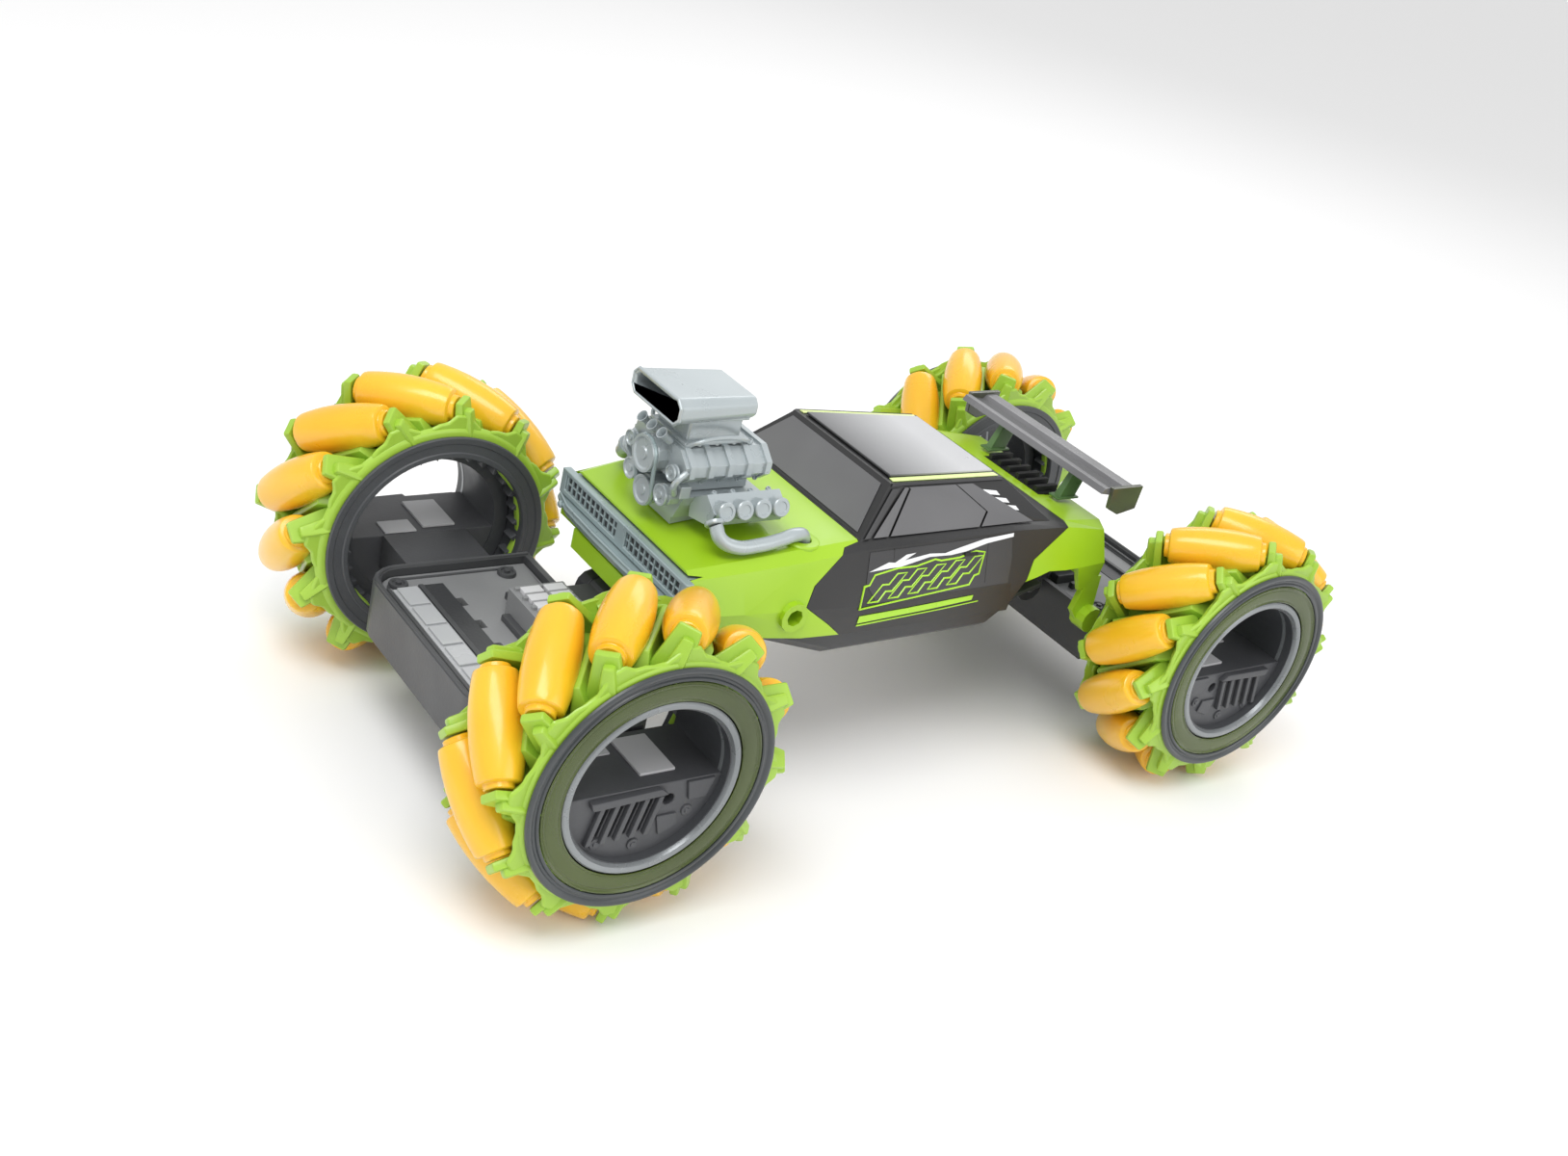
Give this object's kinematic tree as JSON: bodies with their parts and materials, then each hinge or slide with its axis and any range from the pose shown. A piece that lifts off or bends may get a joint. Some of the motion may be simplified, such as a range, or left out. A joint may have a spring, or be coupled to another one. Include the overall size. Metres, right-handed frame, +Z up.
{
  "type": "radio controlled stunt car",
  "caption": "Radio controlled stunt car: low coupe body with an exposed engine and rear wing, on hubless mecanum wheels carried by folding axle modules.",
  "frame": {"origin": "on the floor, midway between the four wheels", "axes": "+X towards the front of the car, +Y towards its left side, +Z up"},
  "size_m": [0.3566, 0.1868, 0.1318],
  "materials": {
    "lime": "gloss",
    "yellow": "gloss",
    "black": "gloss",
    "smoke": "smoky gloss",
    "dark": "satin",
    "pale_grey": "satin",
    "blue_grey": "satin",
    "steel": "satin",
    "roof": "satin",
    "silver": "satin metallic",
    "board": "satin",
    "wrap": "gloss"
  },
  "bodies": {
    "chassis": {"chassis_tub": "dark", "battery_door": "dark", "battery_pack": "wrap", "circuit_board": "board", "front_body": "lime", "rear_body": "lime", "cabin": "black", "roof_panel": "roof", "front_grille": "silver", "bumper_bar": "silver", "rear_bumper": "blue_grey", "rear_louvre": "black", "spoiler": "black", "engine_block": "silver", "blower_case": "silver", "intake_scoop": "silver", "exhaust_left": "silver", "exhaust_right": "silver", "front_pivot_pin": "steel", "rear_pivot_pin": "steel"},
    "power_switch": {"power_switch": "black"},
    "front_module": {"front_axle_case": "dark", "front_axle_cover": "dark", "front_light_bar": "pale_grey", "hub_carrier_fl": "dark", "hub_carrier_fr": "dark", "drive_motor_fl": "steel", "drive_motor_fr": "steel"},
    "rear_module": {"rear_axle_case": "dark", "rear_axle_cover": "dark", "hub_carrier_rl": "dark", "hub_carrier_rr": "dark", "drive_motor_rl": "steel", "drive_motor_rr": "steel"},
    "wheel_fl": {"wheel_frame_fl": "lime", "rollers_fl": "yellow", "outer_rim_fl": "black", "window_ring_fl": "smoke", "ring_gear_fl": "dark"},
    "pinion_fl": {"drive_pinion_fl": "pale_grey"},
    "wheel_fr": {"wheel_frame_fr": "lime", "rollers_fr": "yellow", "outer_rim_fr": "black", "window_ring_fr": "smoke", "ring_gear_fr": "dark"},
    "pinion_fr": {"drive_pinion_fr": "pale_grey"},
    "wheel_rl": {"wheel_frame_rl": "lime", "rollers_rl": "yellow", "outer_rim_rl": "black", "window_ring_rl": "smoke", "ring_gear_rl": "dark"},
    "pinion_rl": {"drive_pinion_rl": "pale_grey"},
    "wheel_rr": {"wheel_frame_rr": "lime", "rollers_rr": "yellow", "outer_rim_rr": "black", "window_ring_rr": "smoke", "ring_gear_rr": "dark"},
    "pinion_rr": {"drive_pinion_rr": "pale_grey"}
  },
  "joints": [
    {"name": "power_switch_slide", "type": "slide", "parent": "chassis", "child": "power_switch", "axis": [1, 0, 0], "range_m": [0, 0.0025]},
    {"name": "front_module_pivot", "type": "hinge", "parent": "chassis", "child": "front_module", "pos_m": [0.086, 0, 0.04928], "axis": [0, 1, 0], "range_deg": [-5, 40]},
    {"name": "rear_module_pivot", "type": "hinge", "parent": "chassis", "child": "rear_module", "pos_m": [-0.086, 0, 0.04928], "axis": [0, -1, 0], "range_deg": [-5, 40]},
    {"name": "wheel_spin_fl", "type": "hinge", "parent": "front_module", "child": "wheel_fl", "pos_m": [0.127, 0.0724, 0.05128], "axis": [0, 1, 0], "continuous": true},
    {"name": "pinion_spin_fl", "type": "hinge", "parent": "front_module", "child": "pinion_fl", "pos_m": [0.127, 0.0724, 0.02877], "axis": [0, 1, 0], "continuous": true},
    {"name": "wheel_spin_fr", "type": "hinge", "parent": "front_module", "child": "wheel_fr", "pos_m": [0.127, -0.0724, 0.05128], "axis": [0, 1, 0], "continuous": true},
    {"name": "pinion_spin_fr", "type": "hinge", "parent": "front_module", "child": "pinion_fr", "pos_m": [0.127, -0.0724, 0.02877], "axis": [0, 1, 0], "continuous": true},
    {"name": "wheel_spin_rl", "type": "hinge", "parent": "rear_module", "child": "wheel_rl", "pos_m": [-0.127, 0.0724, 0.05128], "axis": [0, 1, 0], "continuous": true},
    {"name": "pinion_spin_rl", "type": "hinge", "parent": "rear_module", "child": "pinion_rl", "pos_m": [-0.127, 0.0724, 0.02877], "axis": [0, 1, 0], "continuous": true},
    {"name": "wheel_spin_rr", "type": "hinge", "parent": "rear_module", "child": "wheel_rr", "pos_m": [-0.127, -0.0724, 0.05128], "axis": [0, 1, 0], "continuous": true},
    {"name": "pinion_spin_rr", "type": "hinge", "parent": "rear_module", "child": "pinion_rr", "pos_m": [-0.127, -0.0724, 0.02877], "axis": [0, 1, 0], "continuous": true}
  ],
  "couplings": [
    {"joint": "pinion_spin_fl", "follows": "wheel_spin_fl", "ratio": 4},
    {"joint": "pinion_spin_fr", "follows": "wheel_spin_fr", "ratio": 4},
    {"joint": "pinion_spin_rl", "follows": "wheel_spin_rl", "ratio": 4},
    {"joint": "pinion_spin_rr", "follows": "wheel_spin_rr", "ratio": 4}
  ]
}
